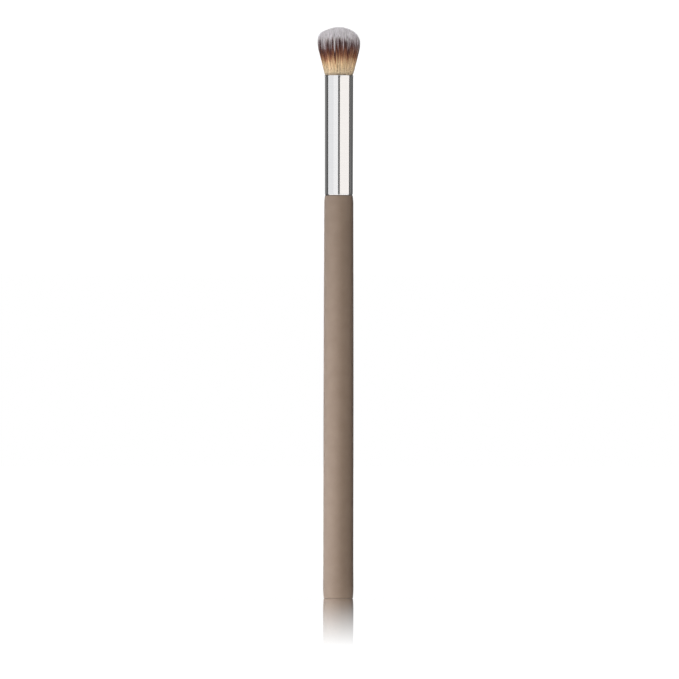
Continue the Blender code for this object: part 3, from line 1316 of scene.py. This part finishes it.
@dataclass
class Brush:
    """The whole brush."""

    ferrule: Ferrule = field(default_factory=Ferrule)
    joint: HiddenJoint = field(default_factory=HiddenJoint)
    tuft: Tuft = field(default_factory=Tuft)

    def build(self) -> list[Piece]:
        """Build and dress every piece."""
        handle = Handle(self.ferrule)
        return [handle.build(), self.ferrule.build()] + self.joint.build() + self.tuft.build()


def heading(azimuth: float, elevation: float = 0.0) -> Vector:
    """Turn two angles into a direction.

    Args:
        azimuth: The angle round the brush from its front to its right, in degrees.
        elevation: The angle above the table, in degrees.

    Returns:
        The direction from the brush, of length 1.
    """
    turn, rise = math.radians(azimuth), math.radians(elevation)
    return Vector((math.sin(turn) * math.cos(rise), -math.cos(turn) * math.cos(rise), math.sin(rise)))


def hang_lamp(lamp: bpy.types.Light, colour: Colour, way: Vector, distance: float,
              aim: float) -> Piece:
    """Hang a lamp that faces the brush's axis and that the camera doesn't see.

    Args:
        lamp: The lamp.
        colour: Its colour.
        way: The direction from the brush to it.
        distance: How far away it is.
        aim: The height of the point that it faces.

    Returns:
        The hung lamp.
    """
    lamp.color = linear(colour)[:3]
    item = bpy.data.objects.new(lamp.name, lamp)
    bpy.context.scene.collection.objects.link(item)
    item.location = way * distance + Vector((0.0, 0.0, aim))
    item.rotation_euler = way.to_track_quat("Z", "Y").to_euler()
    item.visible_camera = False
    return item


@dataclass(frozen=True)
class Card:
    """An upright rectangular light that only shows in reflections."""

    name: str
    start: float
    end: float
    distance: float
    foot: float
    head: float
    radiance: float
    colour: Colour = (255, 255, 255)

    def hang(self) -> None:
        """Place the light so that the brush sees it between two azimuths."""
        lamp = bpy.data.lights.new(self.name, "AREA")
        lamp.shape = "RECTANGLE"
        lamp.size = 2.0 * self.distance * math.tan(math.radians(0.5 * (self.end - self.start)))
        lamp.size_y = self.head - self.foot
        lamp.energy = math.pi * lamp.size * lamp.size_y * self.radiance
        way = heading(0.5 * (self.start + self.end))
        item = hang_lamp(lamp, self.colour, way, self.distance, 0.5 * (self.foot + self.head))
        item.visible_diffuse = False


@dataclass(frozen=True)
class Softbox:
    """A square light that faces a point of the brush and shows in no reflection.

    A surface of full white at that point, turned to the light, gets its strength as brightness.
    """

    name: str
    azimuth: float
    elevation: float
    distance: float
    size: float
    strength: float
    aim: float = 0.08
    colour: Colour = (255, 255, 255)

    def hang(self) -> None:
        """Place the light."""
        lamp = bpy.data.lights.new(self.name, "AREA")
        lamp.shape = "SQUARE"
        lamp.size = self.size
        lamp.energy = (math.pi * self.distance) ** 2 * self.strength
        way = heading(self.azimuth, self.elevation)
        item = hang_lamp(lamp, self.colour, way, self.distance, self.aim)
        item.visible_glossy = False


@dataclass(frozen=True)
class Spot:
    """A narrow lamp that lights the tuft alone and shows in no reflection."""

    name: str
    azimuth: float
    elevation: float
    strength: float
    colour: Colour = (255, 255, 255)
    distance: float = 0.6
    reach: float = 0.02
    blur: float = 0.2
    softness: float = 0.01

    def hang(self) -> None:
        """Place the lamp, with the middle of the tuft's free length as its target."""
        lamp = bpy.data.lights.new(self.name, "SPOT")
        lamp.energy = (2.0 * math.pi * self.distance) ** 2 * self.strength
        lamp.spot_size = 2.0 * math.atan(self.reach / self.distance)
        lamp.spot_blend = self.blur
        lamp.shadow_soft_size = self.softness
        target = 0.5 * (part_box("ferrule")[1].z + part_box("bristle_tuft")[1].z)
        way = heading(self.azimuth, self.elevation)
        item = hang_lamp(lamp, self.colour, way, self.distance, target)
        item.visible_glossy = False


@dataclass(frozen=True)
class WhiteAcrylic:
    """The table's top: white to the camera, with a mirror image that fades with the distance.

    What the brush mirrors of it is bright in front and dark behind, with a darker beam
    straight to the front and to the back. A small pool round the foot lights the matt surfaces.
    """

    name: str = "white_table"
    gloss_reach: float = 0.42
    gloss_fade: float = 1.4
    front: float = 0.95
    back: float = 0.02
    blend_depth: float = 0.05
    beam: Span = (0.08, 0.13)
    beam_share: float = 0.3
    glow_reach: Span = (0.8, 0.92)
    glow_least: float = 0.09
    pool_radius: float = 0.012
    pool: float = 0.6
    dim: float = 0.05
    white: float = 1.08

    def mirrored(self, sketch: Sketch, place: Socket) -> Socket:
        """Shade what the brush mirrors of the table.

        Args:
            sketch: The material's nodes.
            place: The place on the table.

        Returns:
            How bright that place looks.
        """
        x, y, _ = sketch.split(place)
        front = sketch.ramp(y, -self.blend_depth, self.blend_depth, self.front, self.back)
        aside = sketch.math("ABSOLUTE", sketch.math("DIVIDE", x, y))
        front = sketch.math("MULTIPLY", front, sketch.ramp(aside, *self.beam, self.beam_share, 1.0))
        near = sketch.ramp(sketch.length(place), *self.glow_reach, 1.0, 0.0)
        return sketch.math("MULTIPLY_ADD", front, near, self.glow_least)

    def make(self) -> Material:
        """Make the finish.

        Returns:
            The material.
        """
        material = bare_material(self.name)
        sketch = Sketch(material.node_tree)
        place = sketch.put("ShaderNodeTexCoord").outputs["Object"]
        share = sketch.ramp(sketch.length(place), 0.0, self.gloss_reach, 0.0, 1.0)
        gloss = sketch.math("SUBTRACT", 1.0, sketch.math("POWER", share, self.gloss_fade))
        pool = sketch.ramp(sketch.length(place), 0.0, self.pool_radius, self.pool, self.dim)
        rays = sketch.put("ShaderNodeLightPath").outputs
        gloss = sketch.math("MULTIPLY", gloss, sketch.math("SUBTRACT", 1.0, rays["Is Diffuse Ray"]))
        glow = sketch.math("MULTIPLY", rays["Is Diffuse Ray"], pool)
        glow = sketch.math("MULTIPLY_ADD", rays["Is Glossy Ray"], self.mirrored(sketch, place), glow)
        glow = sketch.math("MULTIPLY_ADD", rays["Is Camera Ray"], self.white, glow)
        white = sketch.out("ShaderNodeEmission", WHITE, glow)
        mirror = sketch.out("ShaderNodeBsdfGlossy", WHITE, 0.0)
        result = sketch.out("ShaderNodeMixShader", gloss, white, mirror)
        sketch.finish("ShaderNodeOutputMaterial", result)
        return material


@dataclass
class Studio:
    """White table and background, lights round the brush and a long lens."""

    frame_width: float = 0.2019
    camera_distance: float = 2.4
    camera_height: float = 0.07
    aim_aside: float = 0.00026
    aim_height: float = 0.07695
    roll: float = math.radians(0.08)
    sensor_mm: float = 36.0
    clip: Span = (0.05, 60.0)
    table_size: float = 16.0
    table_gap: float = 0.00002
    table_finish: WhiteAcrylic = WhiteAcrylic()
    backdrop_width: float = 4.0
    backdrop_height: float = 0.13
    backdrop_distance: float = 3.0
    room_fill: float = 0.05
    room_mirrored: float = 0.045
    lights: tuple[Card | Softbox | Spot, ...] = (
        Card("far_left_card", -99.0, -45.0, 0.8, 0.02, 0.6, 0.78, (250, 252, 255)),
        Card("near_left_card", -45.0, -6.6, 0.8, 0.02, 0.6, 0.87, (252, 253, 255)),
        Card("right_card", 7.6, 92.0, 0.8, 0.02, 0.6, 0.91, (255, 251, 248)),
        Card("back_left_card", -178.0, -124.0, 1.2, 0.1, 0.6, 0.15),
        Card("thin_right_card", 112.0, 121.0, 1.0, 0.1, 0.5, 0.18),
        Softbox("left_key", -74.0, 0.0, 0.19, 0.06, 1.12, 0.01, (242, 248, 255)),
        Softbox("front_key", -10.0, 0.0, 0.28, 0.08, 0.45, 0.045, (255, 245, 231)),
        Softbox("right_fill", 100.0, 0.0, 0.22, 0.10, 0.05, 0.03, (255, 210, 160)),
        Spot("tuft_front", -7.0, 12.0, 1.02, (255, 250, 246)),
        Spot("tuft_right", 42.0, 62.0, 0.20, (255, 250, 244)),
        Spot("tuft_back", 180.0, 20.0, 0.50),
        Softbox("top_softbox", 0.0, 89.0, 0.8, 0.5, 0.8, 0.17),
        Softbox("back_right_key", 178.0, 35.0, 1.0, 0.5, 0.50),
        Softbox("back_left_key", -150.0, 30.0, 1.0, 0.5, 0.35),
    )

    def camera(self) -> None:
        """Stand the camera in front of the brush, low and far away."""
        lens = bpy.data.cameras.new("camera")
        item = bpy.data.objects.new("camera", lens)
        bpy.context.scene.collection.objects.link(item)
        item.location = (self.aim_aside, -self.camera_distance, self.camera_height)
        sight = Vector((self.aim_aside, 0.0, self.aim_height)) - item.location
        lens.sensor_fit = "HORIZONTAL"
        lens.sensor_width = self.sensor_mm
        lens.lens = self.sensor_mm * sight.length / self.frame_width
        lens.clip_start, lens.clip_end = self.clip
        turn = sight.to_track_quat("-Z", "Y") @ Quaternion((0.0, 0.0, 1.0), self.roll)
        item.rotation_euler = turn.to_euler()
        bpy.context.scene.camera = item

    def table(self) -> None:
        """Lay the table just under the brush."""
        bpy.ops.mesh.primitive_plane_add(size=self.table_size, location=(0.0, 0.0, -self.table_gap))
        item = bpy.context.object
        item.name = "table"
        item.data.materials.append(self.table_finish.make())

    def backdrop(self) -> None:
        """Stand a low white card far behind, which the table mirrors."""
        place = (0.0, self.backdrop_distance, 0.5 * self.backdrop_height)
        bpy.ops.mesh.primitive_plane_add(size=1.0, location=place, rotation=(0.5 * math.pi, 0.0, 0.0))
        item = bpy.context.object
        item.name = "backdrop"
        item.scale = (self.backdrop_width, self.backdrop_height, 1.0)
        material = bare_material("white_backdrop")
        sketch = Sketch(material.node_tree)
        sketch.finish("ShaderNodeOutputMaterial", sketch.out("ShaderNodeEmission", WHITE, 1.0))
        item.data.materials.append(material)
        item.visible_diffuse = False

    def world(self) -> None:
        """Make the room: white to the camera, dim to reflections, a soft fill to the rest."""
        world = bpy.data.worlds.new("white_room")
        bpy.context.scene.world = world
        world.use_nodes = True
        world.node_tree.nodes.clear()
        sketch = Sketch(world.node_tree)
        rays = sketch.put("ShaderNodeLightPath").outputs
        fill = sketch.math("MULTIPLY_ADD", rays["Is Glossy Ray"], self.room_mirrored, self.room_fill)
        fill = sketch.math("MAXIMUM", fill, rays["Is Singular Ray"])
        level = sketch.math("MULTIPLY_ADD", rays["Is Camera Ray"], 1.0, fill)
        sketch.finish("ShaderNodeOutputWorld", sketch.out("ShaderNodeBackground", WHITE, level))

    def build(self) -> None:
        """Build the whole studio."""
        bpy.context.scene.view_settings.view_transform = "Standard"
        self.camera()
        self.table()
        self.backdrop()
        self.world()
        for light in self.lights:
            light.hang()


def main() -> None:
    """Build the studio and the brush, and log each piece's faces."""
    logging.basicConfig(level=logging.INFO, format="%(name)s: %(message)s")
    Studio().build()
    for piece in Brush().build():
        LOG.info("%s: %d faces", piece.name, len(piece.data.polygons))


if __name__ == "__main__":
    main()
